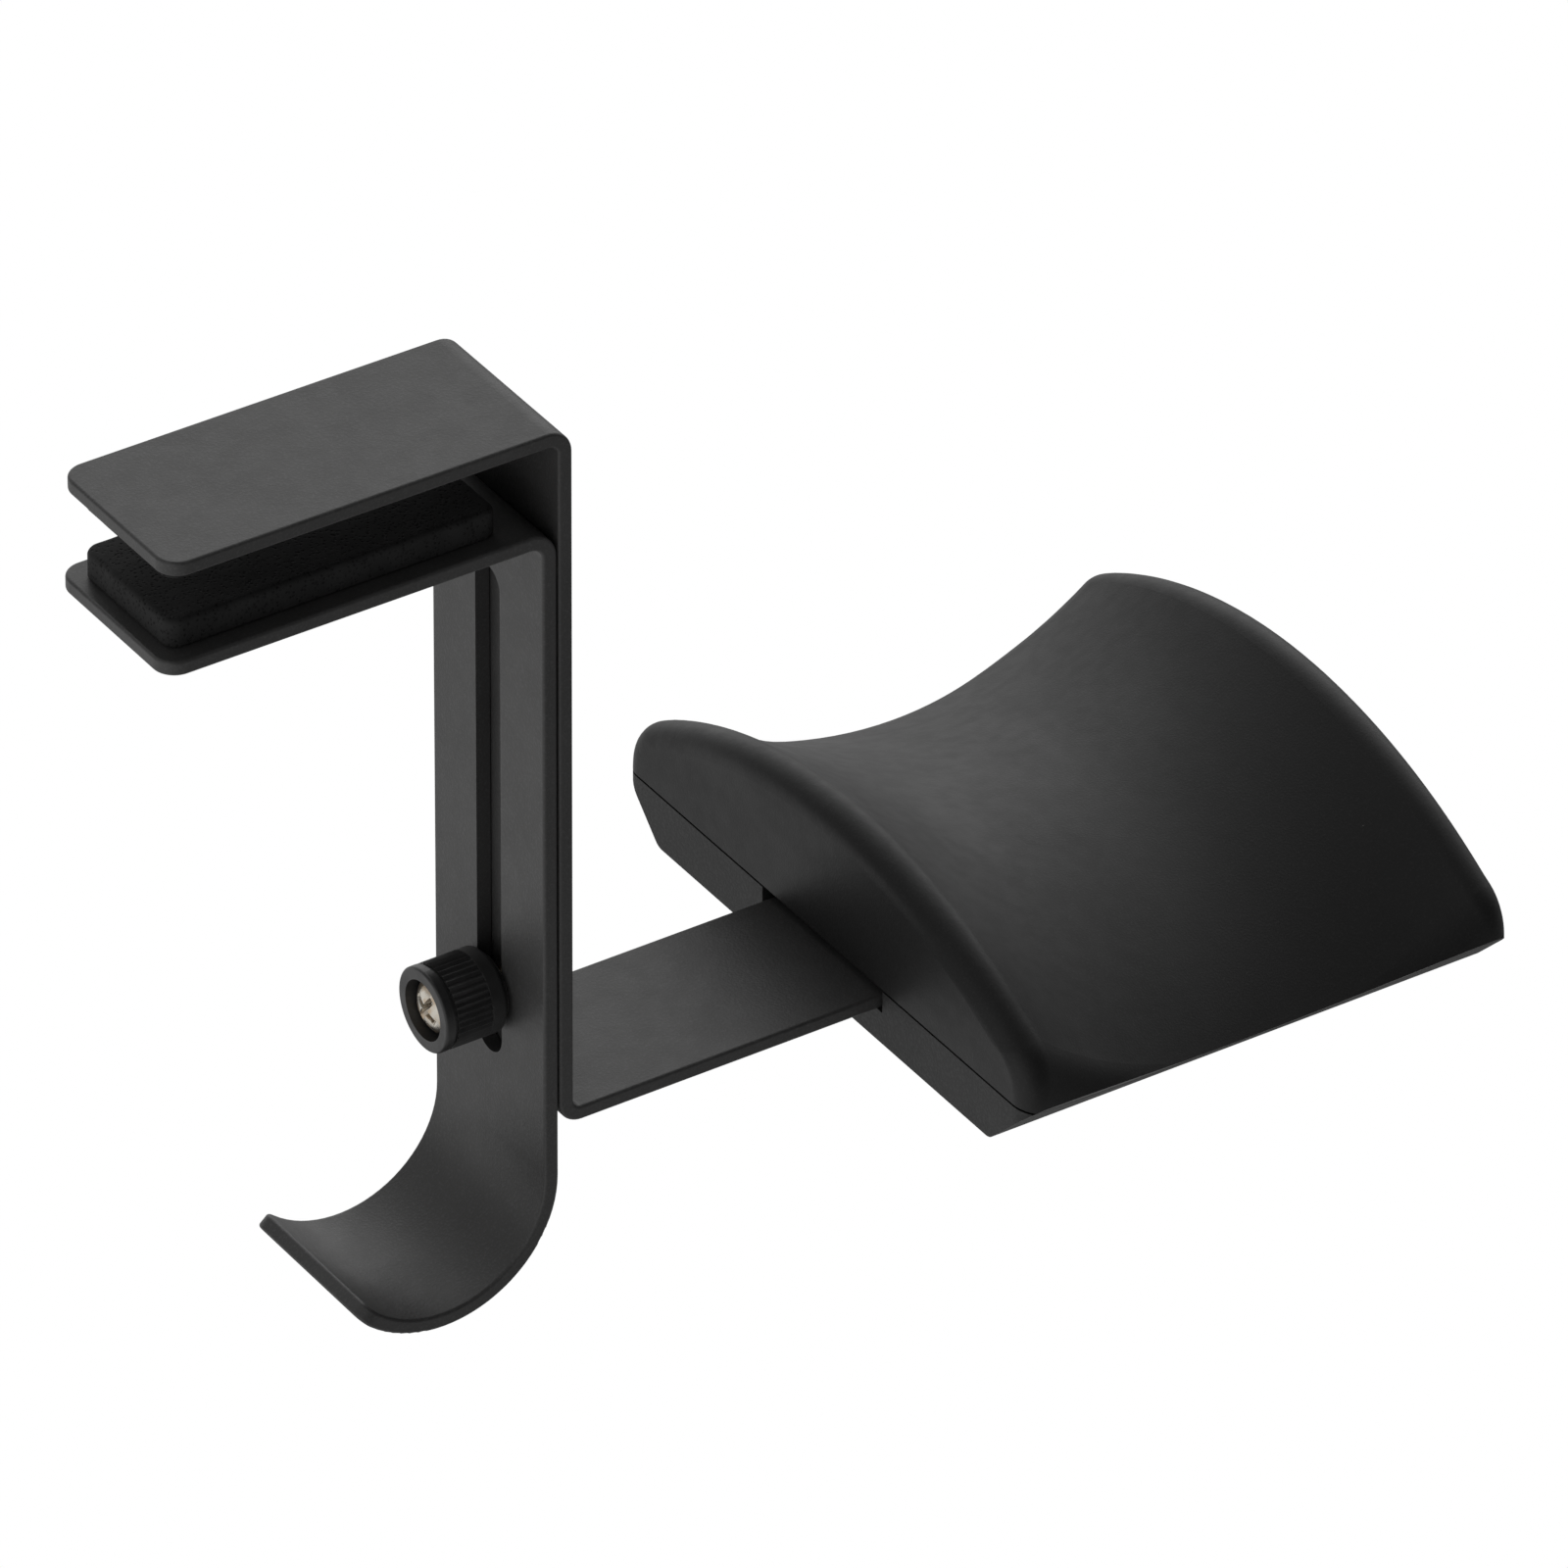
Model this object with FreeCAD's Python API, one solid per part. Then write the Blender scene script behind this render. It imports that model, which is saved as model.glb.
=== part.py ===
import FreeCAD, Part
import math
import os

from FreeCAD import Vector

# Desk clamp hook with a headphone saddle. Millimetres, +Z up.
# Origin: centre of the upper pad's underside, which rests on the desk top.
# +X runs from the clamp towards the saddle, +Y across the steel strips.

# Steel strip that both brackets are bent from
STRIP_WIDTH = 25.0
STRIP_THICK = 2.0
STRIP_EDGE_ROUND = 0.4
STRIP_CORNER_ROUND = 3.0

# Clamp: the hook bracket slides up and down against the outer bracket
HOOK_BACK_X = 29.5            # back face of the hook bracket's upright
UPRIGHT_GAP = 0.2             # paint and play between the two uprights
FLANGE_END_X = -24.4          # free end of the top flange
JAW_END_X = -25.0             # free end of the lower jaw
JAW_TOP_Z = -9.8              # upper face of the lower jaw plate
FLANGE_BEND_RADIUS = 2.4      # centreline radii of the bends
JAW_BEND_RADIUS = 2.7
ARM_BEND_RADIUS = 2.2

# Pads glued into the jaws
PAD_LENGTH = 46.0
PAD_WIDTH = 20.0
PAD_CENTRE_X = 0.0
PAD_CORNER_ROUND = 2.0
PAD_EDGE_ROUND = 0.6
TAPE_THICK = 0.2
TAPE_INSET = 0.5
UPPER_PAD_THICK = 1.8
LOWER_PAD_THICK = 3.8

# Slot in the hook bracket, for the clamping screw
SLOT_WIDTH = 5.5
SLOT_TOP_Z = -21.0
SLOT_BOTTOM_Z = -92.0

# J-shaped cable and strap hook at the foot of the hook bracket
HOOK_RADIUS = 15.4            # strip centreline
HOOK_CENTRE_Z = -104.1
HOOK_SWEEP = 138.0
HOOK_TIP_ROUND = 2.0

# Clamping screw: M4, turned by a knurled knob, in a nut pressed into the outer bracket
SCREW_Z = -82.6
KNOB_FRONT_X = 17.9
KNOB_RADIUS = 5.6
KNOB_RIM = 1.2
KNOB_GROOVE = 0.6
KNOB_GROOVE_DEPTH = 0.45
KNOB_COLLAR = 2.0
KNOB_RIDGES = 40
KNOB_RIDGE_DEPTH = 0.3
KNOB_EDGE_ROUND = 0.35
KNOB_RECESS_RADIUS = 4.0
KNOB_RECESS_DEPTH = 2.5
WASHER_RADIUS = 4.5
WASHER_THICK = 0.8
WASHER_GAP = 0.1
WASHER_PLAY = 0.15
SCREW_RADIUS = 1.95
SCREW_BORE_RADIUS = 2.0
SCREW_LENGTH = 14.0
SCREW_HEAD_RADIUS = 3.5
SCREW_HEAD_HEIGHT = 2.2
SCREW_TIP_CHAMFER = 0.6
SCREW_CROSS = (6.2, 1.1, 1.5)    # span, width and depth
SCREW_HEAD_TURN = 30.0
HEAD_SIDE_SHARE = 0.45          # upright part of a screw head's height
HEAD_SHOULDER = (0.62, 0.72)     # crown point between side and middle, as shares of crown and radius
NUT_RADIUS = 3.9
NUT_HEIGHT = 2.0
NUT_SHANK_RADIUS = 2.7
NUT_SHANK_PLAY = 0.02
NUT_EDGE_ROUND = 0.3

# Arm: the lower end of the outer bracket, which carries the saddle
ARM_TOP_Z = -95.1
ARM_END_X = 124.0
ARM_HOLES_X = (94.0, 112.0)
ARM_HOLE_RADIUS = 1.7

# Saddle: a moulded shell on a shallow base. Heights are above the parting at the saddle's ends.
PARTING_ABOVE_ARM = 1.3
SADDLE_START_X = 76.0
SADDLE_LENGTH = 72.4
SADDLE_WIDTH = 90.5
DISH_HEIGHT = 6.6             # lowest point of the ridge line
DISH_SHIFT = 1.2              # how far that point is beyond the saddle's middle
DISH_RADIUS = 51.0            # hollow along X
ARCH_RADIUS = 81.0            # crown across Y
SIDE_ROUND = 7.0              # edges between the dish and the two long sides
LIP_ROUND = 3.0               # edges round both ends
INNER_ROUND = 3.0
SHELL_WALL = 2.5
BASE_DEPTH = 7.9
BASE_FLARE = 8.0              # how far each side of the base tapers in
BASE_EDGE_ROUND = 2.0
BASE_WALL = 2.0
PART_LINE_DIP = 5.2           # the parting dips towards the middle of each long side
PART_LINE_GAP = 0.3
TONGUE_HEIGHT = 1.6
TONGUE_THICK = 1.2
TONGUE_PLAY = 0.2
NOTCH_SIDE_PLAY = 1.0
ARM_PLAY = 0.05

# Self-tapping screws that hold the saddle together
BOSS_RADIUS = 3.6
BOSS_BOTTOM = 4.7             # below the parting
TAPPER_RADIUS = 1.5
TAPPER_PILOT_RADIUS = 1.55
TAPPER_HOLE_RADIUS = 1.75
TAPPER_HEAD_RADIUS = 2.75
TAPPER_HEAD_HEIGHT = 1.8
TAPPER_LENGTH = 8.0
TAPPER_CROSS = (3.2, 0.7, 1.1)   # span, width and depth
BASE_SCREW_X = 28.0           # from the saddle's middle
BASE_SCREW_Y = 29.0
HEAD_POCKET_RADIUS = 3.1
HEAD_POCKET_DEPTH = 2.2
POST_RADIUS = 4.6
RIB_THICK = 1.6
RIB_Y = 8.0
RIB_START = 2.0               # from the near end of the base

HALF_STRIP = STRIP_THICK / 2
HALF_WIDTH = STRIP_WIDTH / 2
UPPER_PAD_Z = UPPER_PAD_THICK + TAPE_THICK           # underside of the top flange
LOWER_PAD_Z = JAW_TOP_Z + TAPE_THICK + LOWER_PAD_THICK
HOOK_FRONT_X = HOOK_BACK_X - STRIP_THICK
OUTER_INNER_X = HOOK_BACK_X + UPRIGHT_GAP
OUTER_BACK_X = OUTER_INNER_X + STRIP_THICK
KNOB_BACK_X = HOOK_FRONT_X - WASHER_GAP - WASHER_THICK
SADDLE_MID_X = SADDLE_START_X + SADDLE_LENGTH / 2
PARTING_Z = ARM_TOP_Z + PARTING_ABOVE_ARM
BASE_Z = PARTING_Z - BASE_DEPTH
FAR = 200.0                                          # longer than any piece

X_AXIS = Vector(1, 0, 0)
Y_AXIS = Vector(0, 1, 0)
Z_AXIS = Vector(0, 0, 1)


def box(low, high):
    low = Vector(*low)
    size = Vector(*high) - low
    return Part.makeBox(size.x, size.y, size.z, low)


def rod(radius, start, length, axis=X_AXIS):
    return Part.makeCylinder(radius, length, Vector(*start), axis)


def edges_where(shape, test):
    return [edge for edge in shape.Edges if test(edge.BoundBox)]


def bent_strip(x, z, heading, steps):
    """Strip bent in the XZ plane. A step is ("leg", length) or ("bend", radius, degrees).

    x, z and the bend radii are those of the strip's centreline. Positive degrees turn upwards
    when heading along +X.
    """
    point = Vector(x, 0, z)
    direction = Vector(math.cos(math.radians(heading)), 0, math.sin(math.radians(heading)))
    left, right = [], []
    start_normal = Vector(-direction.z, 0, direction.x) * HALF_STRIP
    start = point
    for step in steps:
        normal = Vector(-direction.z, 0, direction.x)
        if step[0] == "leg":
            end = point + direction * step[1]
            for side, edges in ((HALF_STRIP, left), (-HALF_STRIP, right)):
                edges.append(Part.makeLine(point + normal * side, end + normal * side))
            point = end
        else:
            radius, angle = step[1], math.radians(step[2])
            centre = point + normal * math.copysign(radius, angle)
            arm = point - centre
            for side, edges in ((HALF_STRIP, left), (-HALF_STRIP, right)):
                reach = arm + normal * side
                stops = [centre + turned(reach, angle * part) for part in (0, 0.5, 1)]
                edges.append(Part.Arc(*stops).toShape())
            point = centre + turned(arm, angle)
            direction = turned(direction, angle)
    end_normal = Vector(-direction.z, 0, direction.x) * HALF_STRIP
    caps = [
        Part.makeLine(start - start_normal, start + start_normal),
        Part.makeLine(point + end_normal, point - end_normal),
    ]
    outline = Part.Wire(Part.__sortEdges__(left + right + caps))
    strip = Part.Face(outline).extrude(Y_AXIS * STRIP_WIDTH)
    strip.translate(Y_AXIS * -HALF_WIDTH)
    return strip


def turned(vector, angle):
    cos, sin = math.cos(angle), math.sin(angle)
    return Vector(vector.x * cos - vector.z * sin, 0, vector.x * sin + vector.z * cos)


def round_end(strip, radius, low, high):
    """Round the two corners of a strip's free end that lie inside the given X range."""
    short = edges_where(strip, lambda b: b.YLength < 0.01 and b.DiagonalLength < STRIP_THICK + 0.01)
    corners = [edge for edge in short if low < edge.BoundBox.XMin and edge.BoundBox.XMax < high]
    return strip.makeFillet(radius, corners)


def round_long_edges(strip):
    """Break the sharp edges along both faces of a strip."""
    rims = edges_where(strip, lambda b: b.YLength < 0.01 and abs(b.YMin) > HALF_WIDTH - 0.01)
    rims = [edge for edge in rims if edge.Length > STRIP_THICK + 0.01]
    return strip.makeFillet(STRIP_EDGE_ROUND, rims)


def outer_bracket():
    """One strip: top flange, upright and the arm that carries the saddle."""
    flange_z = UPPER_PAD_Z + HALF_STRIP
    upright_x = OUTER_BACK_X - HALF_STRIP
    arm_z = ARM_TOP_Z - HALF_STRIP
    steps = [
        ("leg", upright_x - FLANGE_BEND_RADIUS - FLANGE_END_X),
        ("bend", FLANGE_BEND_RADIUS, -90),
        ("leg", flange_z - FLANGE_BEND_RADIUS - arm_z - ARM_BEND_RADIUS),
        ("bend", ARM_BEND_RADIUS, 90),
        ("leg", ARM_END_X - upright_x - ARM_BEND_RADIUS),
    ]
    strip = bent_strip(FLANGE_END_X, flange_z, 0, steps)
    strip = round_end(strip, STRIP_CORNER_ROUND, FLANGE_END_X - 1, FLANGE_END_X + 1)
    strip = round_end(strip, STRIP_CORNER_ROUND, ARM_END_X - 1, ARM_END_X + 1)
    strip = round_long_edges(strip)
    strip = strip.cut(rod(NUT_SHANK_RADIUS, (OUTER_INNER_X - 1, 0, SCREW_Z), STRIP_THICK + 2))
    for x in ARM_HOLES_X:
        strip = strip.cut(rod(ARM_HOLE_RADIUS, (x, 0, arm_z - STRIP_THICK), 2 * STRIP_THICK, Z_AXIS))
    return strip


def slot_cutter():
    radius = SLOT_WIDTH / 2
    low, high = SLOT_BOTTOM_Z + radius, SLOT_TOP_Z - radius
    start = HOOK_FRONT_X - 1
    depth = STRIP_THICK + 2
    middle = box((start, -radius, low), (start + depth, radius, high))
    return middle.fuse([rod(radius, (start, 0, z), depth) for z in (low, high)]).removeSplitter()


def hook_bracket():
    """One strip: lower jaw, slotted upright and J hook."""
    jaw_z = JAW_TOP_Z - HALF_STRIP
    upright_x = HOOK_BACK_X - HALF_STRIP
    steps = [
        ("leg", upright_x - JAW_BEND_RADIUS - JAW_END_X),
        ("bend", JAW_BEND_RADIUS, -90),
        ("leg", jaw_z - JAW_BEND_RADIUS - HOOK_CENTRE_Z),
        ("bend", HOOK_RADIUS, -HOOK_SWEEP),
    ]
    strip = bent_strip(JAW_END_X, jaw_z, 0, steps)
    strip = round_end(strip, STRIP_CORNER_ROUND, JAW_END_X - 1, JAW_END_X + 1)
    tip_x = upright_x - HOOK_RADIUS * (1 - math.cos(math.radians(HOOK_SWEEP)))
    strip = round_end(strip, HOOK_TIP_ROUND, tip_x - STRIP_THICK, tip_x + STRIP_THICK)
    strip = round_long_edges(strip)
    return strip.cut(slot_cutter())


def slab(length, width, low_z, thick, corner):
    """Flat plate centred on the jaws, with rounded corners in plan."""
    plate = box(
        (PAD_CENTRE_X - length / 2, -width / 2, low_z),
        (PAD_CENTRE_X + length / 2, width / 2, low_z + thick),
    )
    return plate.makeFillet(corner, edges_where(plate, lambda b: b.ZLength > thick - 0.01))


def pad(low_z, thick, free_z):
    """Jaw pad whose free face, at free_z, has softened edges."""
    plate = slab(PAD_LENGTH, PAD_WIDTH, low_z, thick, PAD_CORNER_ROUND)
    rim = edges_where(plate, lambda b: b.ZLength < 0.01 and abs(b.ZMin - free_z) < 0.01)
    return plate.makeFillet(PAD_EDGE_ROUND, rim)


def pad_tape(low_z):
    length = PAD_LENGTH - 2 * TAPE_INSET
    width = PAD_WIDTH - 2 * TAPE_INSET
    return slab(length, width, low_z, TAPE_THICK, PAD_CORNER_ROUND)


def ridged_disc(start_x, length):
    """Straight-knurled stretch of the knob."""
    points = []
    for i in range(2 * KNOB_RIDGES):
        radius = KNOB_RADIUS - (KNOB_RIDGE_DEPTH if i % 2 else 0)
        angle = math.pi * i / KNOB_RIDGES
        points.append(Vector(start_x, radius * math.cos(angle), SCREW_Z + radius * math.sin(angle)))
    return Part.Face(Part.makePolygon(points + points[:1])).extrude(X_AXIS * length)


def disc(radius, start_x, length):
    return rod(radius, (start_x, 0, SCREW_Z), length)


def rounded_disc(radius, start_x, length, rounding, rounded_x):
    """Disc on the screw's axis whose rim at rounded_x is rounded."""
    plain = disc(radius, start_x, length)
    rim = edges_where(plain, lambda b: b.XLength < 0.01 and abs(b.XMin - rounded_x) < 0.01)
    return plain.makeFillet(rounding, rim)


def thumb_knob():
    rim_end = KNOB_FRONT_X + KNOB_RIM
    ridge_start = rim_end + KNOB_GROOVE
    ridge_end = KNOB_BACK_X - KNOB_COLLAR
    rim = rounded_disc(KNOB_RADIUS, KNOB_FRONT_X, KNOB_RIM, KNOB_EDGE_ROUND, KNOB_FRONT_X)
    core = disc(KNOB_RADIUS - KNOB_GROOVE_DEPTH, KNOB_FRONT_X + 0.5 * KNOB_RIM, KNOB_RIM + KNOB_GROOVE)
    ridges = ridged_disc(ridge_start, ridge_end - ridge_start)
    collar = rounded_disc(KNOB_RADIUS, ridge_end, KNOB_COLLAR, KNOB_EDGE_ROUND, KNOB_BACK_X)
    knob = rim.fuse([core, ridges, collar])
    recess = disc(KNOB_RECESS_RADIUS, KNOB_FRONT_X - 1, KNOB_RECESS_DEPTH + 1)
    bore = disc(SCREW_BORE_RADIUS, KNOB_FRONT_X, KNOB_BACK_X - KNOB_FRONT_X + 1)
    return knob.cut([recess, bore]).removeSplitter()


def domed_head(radius, height):
    """Pan head standing on the YZ plane at the origin: upright side, then a crown towards -X."""
    side = HEAD_SIDE_SHARE * height
    crown = height - side
    shoulder = Vector(-side - HEAD_SHOULDER[0] * crown, HEAD_SHOULDER[1] * radius, 0)
    profile = Part.Wire([
        Part.makeLine(Vector(0, 0, 0), Vector(0, radius, 0)),
        Part.makeLine(Vector(0, radius, 0), Vector(-side, radius, 0)),
        Part.Arc(Vector(-side, radius, 0), shoulder, Vector(-height, 0, 0)).toShape(),
        Part.makeLine(Vector(-height, 0, 0), Vector(0, 0, 0)),
    ])
    return Part.Face(profile).revolve(Vector(0, 0, 0), X_AXIS, 360)


def cross_recess(face_x, span, width, depth):
    """Phillips recess: two tapered wings that narrow towards the bottom."""
    def wing(along_y):
        sections = []
        for x, half_span, half_width in (
            (face_x - 0.5, span / 2, width / 2),
            (face_x + depth, span / 8, width / 3),
        ):
            y, z = (half_span, half_width) if along_y else (half_width, half_span)
            corners = [Vector(x, sy * y, sz * z) for sy, sz in ((-1, -1), (1, -1), (1, 1), (-1, 1))]
            sections.append(Part.makePolygon(corners + corners[:1]))
        return Part.makeLoft(sections, True)
    return wing(True).fuse(wing(False))


def crossed_screw(head_radius, head_height, cross, radius, length, chamfer):
    """Pan-head screw along +X, seated on the YZ plane at the origin."""
    head = domed_head(head_radius, head_height)
    shank = rod(radius, (-0.5, 0, 0), length + 0.5)
    tip = edges_where(shank, lambda b: b.XMin > length - 0.01)
    screw = head.fuse(shank.makeChamfer(chamfer, tip))
    return screw.cut(cross_recess(-head_height, *cross)).removeSplitter()


def thumb_screw():
    """M4 screw: head in the knob's recess, shank through slot and nut."""
    screw = crossed_screw(
        SCREW_HEAD_RADIUS, SCREW_HEAD_HEIGHT, SCREW_CROSS, SCREW_RADIUS, SCREW_LENGTH, SCREW_TIP_CHAMFER
    )
    screw.rotate(Vector(0, 0, 0), X_AXIS, SCREW_HEAD_TURN)
    screw.translate(Vector(KNOB_FRONT_X + KNOB_RECESS_DEPTH, 0, SCREW_Z))
    return screw


def knob_washer():
    ring = disc(WASHER_RADIUS, KNOB_BACK_X, WASHER_THICK)
    return ring.cut(disc(SCREW_BORE_RADIUS + WASHER_PLAY, KNOB_BACK_X - 1, WASHER_THICK + 2))


def clinch_nut():
    """Round M4 nut, pressed into the outer bracket from behind."""
    body = rounded_disc(NUT_RADIUS, OUTER_BACK_X, NUT_HEIGHT, NUT_EDGE_ROUND, OUTER_BACK_X + NUT_HEIGHT)
    shank = disc(NUT_SHANK_RADIUS - NUT_SHANK_PLAY, OUTER_INNER_X, STRIP_THICK)
    bore = disc(SCREW_BORE_RADIUS, OUTER_INNER_X - 1, STRIP_THICK + NUT_HEIGHT + 2)
    return body.fuse(shank).cut(bore).removeSplitter()


def arch_section(half_width, crown_z, arch_radius, depth):
    """Closed YZ outline at X = 0: crowned top and upright sides."""
    eave_z = crown_z - arch_radius + math.sqrt(arch_radius ** 2 - half_width ** 2)
    low_z = eave_z - depth
    left, right = Vector(0, -half_width, eave_z), Vector(0, half_width, eave_z)
    low_left, low_right = Vector(0, -half_width, low_z), Vector(0, half_width, low_z)
    return Part.Wire([
        Part.Arc(left, Vector(0, 0, crown_z), right).toShape(),
        Part.makeLine(right, low_right),
        Part.makeLine(low_right, low_left),
        Part.makeLine(low_left, left),
    ])


def dished_block(inset):
    """Arch swept along the dish, its walls moved in by inset, with sharp edges."""
    half_length = SADDLE_LENGTH / 2 - inset
    half_width = SADDLE_WIDTH / 2 - inset
    dish_radius = DISH_RADIUS + inset
    centre_x = SADDLE_MID_X + DISH_SHIFT
    centre_z = PARTING_Z + DISH_HEIGHT + DISH_RADIUS
    near_x = SADDLE_MID_X - half_length
    far_x = SADDLE_MID_X + half_length
    near_z = centre_z - math.sqrt(dish_radius ** 2 - (near_x - centre_x) ** 2)
    far_z = centre_z - math.sqrt(dish_radius ** 2 - (far_x - centre_x) ** 2)
    section = arch_section(half_width, near_z, ARCH_RADIUS - inset, SADDLE_WIDTH)
    section.translate(Vector(near_x, 0, 0))
    spine = Part.Wire([Part.Arc(
        Vector(near_x, 0, near_z),
        Vector(centre_x, 0, centre_z - dish_radius),
        Vector(far_x, 0, far_z),
    ).toShape()])
    sweep = Part.BRepOffsetAPI.MakePipeShell(spine)
    sweep.setTrihedronMode(Vector(0, 0, 0), X_AXIS)
    sweep.add(section)
    sweep.build()
    sweep.makeSolid()
    return sweep.shape()


def above_foot(box_test):
    """Edge test that leaves out the underside of a dished block."""
    foot_z = PARTING_Z - SADDLE_WIDTH / 2
    return lambda b: b.ZMax > foot_z and box_test(b)


def outer_block():
    block = dished_block(0)
    block = block.makeFillet(SIDE_ROUND, edges_where(block, above_foot(lambda b: b.XLength > 1)))
    return block.makeFillet(LIP_ROUND, edges_where(block, above_foot(lambda b: b.XLength < 0.05)))


def inner_block(inset):
    block = dished_block(inset)
    return block.makeFillet(INNER_ROUND, edges_where(block, above_foot(lambda b: True)))


def flared_prism(inset, floor):
    """Prism along X that tapers in below the parting, its walls moved in by inset."""
    half = SADDLE_WIDTH / 2 - inset
    foot = half - BASE_FLARE
    top = PARTING_Z + SADDLE_WIDTH
    low = BASE_Z + floor
    outline = [(-half, top), (-half, PARTING_Z), (-foot, low), (foot, low), (half, PARTING_Z), (half, top)]
    points = [Vector(SADDLE_START_X - 1 + inset, y, z) for y, z in outline]
    length = SADDLE_LENGTH + 2 - 2 * inset
    prism = Part.Face(Part.makePolygon(points + points[:1])).extrude(X_AXIS * length)
    feet = edges_where(prism, lambda b: b.XLength > 1 and abs(b.ZMax - low) < 0.01)
    return prism.makeFillet(BASE_EDGE_ROUND, feet)


def below_parting(shift):
    """Everything under the parting surface, which is an arc along X moved up by shift."""
    reach = SADDLE_LENGTH / 2 + 4
    radius = ((SADDLE_LENGTH / 2) ** 2 + PART_LINE_DIP ** 2) / (2 * PART_LINE_DIP)
    centre_z = PARTING_Z - PART_LINE_DIP + radius
    rise = centre_z - math.sqrt(radius ** 2 - reach ** 2) + shift
    left = Vector(SADDLE_MID_X - reach, -FAR / 2, rise)
    right = Vector(SADDLE_MID_X + reach, -FAR / 2, rise)
    bottom = Vector(SADDLE_MID_X, -FAR / 2, PARTING_Z - PART_LINE_DIP + shift)
    down = Z_AXIS * -40
    outline = Part.Wire([
        Part.Arc(left, bottom, right).toShape(),
        Part.makeLine(right, right + down),
        Part.makeLine(right + down, left + down),
        Part.makeLine(left + down, left),
    ])
    return Part.Face(outline).extrude(Y_AXIS * FAR)


def base_screw_places():
    return [(SADDLE_MID_X + sx * BASE_SCREW_X, sy * BASE_SCREW_Y) for sx in (-1, 1) for sy in (-1, 1)]


def saddle_envelope():
    return outer_block().common(flared_prism(0, 0))


def cavity():
    """Space inside the closed saddle."""
    return inner_block(SHELL_WALL).common(flared_prism(SHELL_WALL, BASE_WALL))


def arm_passage():
    """Room for the arm, from the saddle's near end to just past the arm's tip."""
    half = HALF_WIDTH + NOTCH_SIDE_PLAY
    floor_z = ARM_TOP_Z - STRIP_THICK
    passage = box((SADDLE_START_X - 1, -half, floor_z), (ARM_END_X + 1, half, ARM_TOP_Z + ARM_PLAY))
    mouth = box((SADDLE_START_X - 1, -half, floor_z), (SADDLE_START_X + 2 * SHELL_WALL, half, PARTING_Z))
    return passage.fuse(mouth)


def saddle_shell():
    """Upper moulding: dished shell with screw bosses inside."""
    envelope = saddle_envelope()
    shell = envelope.cut(below_parting(PART_LINE_GAP / 2)).cut(cavity())
    inner_top = inner_block(SHELL_WALL / 2)
    bosses = []
    for x, y in base_screw_places():
        bosses.append(rod(BOSS_RADIUS, (x, y, PARTING_Z - BOSS_BOTTOM), FAR, Z_AXIS))
    for x in ARM_HOLES_X:
        bosses.append(rod(BOSS_RADIUS, (x, 0, ARM_TOP_Z), FAR, Z_AXIS))
    shell = shell.fuse([boss.common(inner_top) for boss in bosses])
    cuts = [arm_passage()]
    for x, y in base_screw_places():
        cuts.append(rod(TAPPER_PILOT_RADIUS, (x, y, PARTING_Z - BOSS_BOTTOM - 1), TAPPER_LENGTH, Z_AXIS))
    for x in ARM_HOLES_X:
        cuts.append(rod(TAPPER_PILOT_RADIUS, (x, 0, ARM_TOP_Z - 1), TAPPER_LENGTH, Z_AXIS))
    return shell.cut(cuts).removeSplitter()


def saddle_base():
    """Lower moulding: tray with an inner tongue, screw posts, ribs and the arm's notch."""
    envelope = saddle_envelope()
    tray = envelope.common(below_parting(-PART_LINE_GAP / 2)).cut(cavity())
    inset = SHELL_WALL + TONGUE_PLAY
    ring = inner_block(inset).cut(inner_block(inset + TONGUE_THICK))
    ring = ring.common(flared_prism(inset, BASE_WALL)).common(below_parting(TONGUE_HEIGHT))
    tray = tray.fuse(ring)
    posts, pockets = [], []
    post_top = PARTING_Z - BOSS_BOTTOM
    for x, y in base_screw_places():
        posts.append(rod(POST_RADIUS, (x, y, BASE_Z), post_top - BASE_Z, Z_AXIS))
        pockets.append(rod(HEAD_POCKET_RADIUS, (x, y, BASE_Z - 1), HEAD_POCKET_DEPTH + 1, Z_AXIS))
        pockets.append(rod(TAPPER_HOLE_RADIUS, (x, y, BASE_Z - 1), BASE_DEPTH, Z_AXIS))
        pockets.append(rod(BOSS_RADIUS + TONGUE_PLAY, (x, y, post_top), BASE_DEPTH, Z_AXIS))
    rib_start, rib_foot = SADDLE_START_X + RIB_START, BASE_Z + BASE_WALL / 4
    rib_end, rib_top = ARM_END_X, ARM_TOP_Z - STRIP_THICK
    ribs = [
        box((rib_start, y - RIB_THICK / 2, rib_foot), (rib_end, y + RIB_THICK / 2, rib_top))
        for y in (-RIB_Y, RIB_Y)
    ]
    tray = tray.fuse([post.common(envelope) for post in posts] + ribs)
    return tray.cut(pockets + [arm_passage(), tongue_gap()]).removeSplitter()


def tongue_gap():
    """Opening in the base's tongue above the arm."""
    half = HALF_WIDTH + NOTCH_SIDE_PLAY
    return box(
        (SADDLE_START_X - 1, -half, ARM_TOP_Z),
        (SADDLE_START_X + 2 * SHELL_WALL, half, PARTING_Z + 2 * TONGUE_HEIGHT),
    )


def tapping_screw(x, y, seat_z):
    """Self-tapping screw driven upwards, its head under seat_z."""
    screw = crossed_screw(
        TAPPER_HEAD_RADIUS, TAPPER_HEAD_HEIGHT, TAPPER_CROSS, TAPPER_RADIUS, TAPPER_LENGTH, TAPPER_RADIUS / 2
    )
    screw.rotate(Vector(0, 0, 0), Y_AXIS, -90)
    screw.translate(Vector(x, y, seat_z))
    return screw


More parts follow.
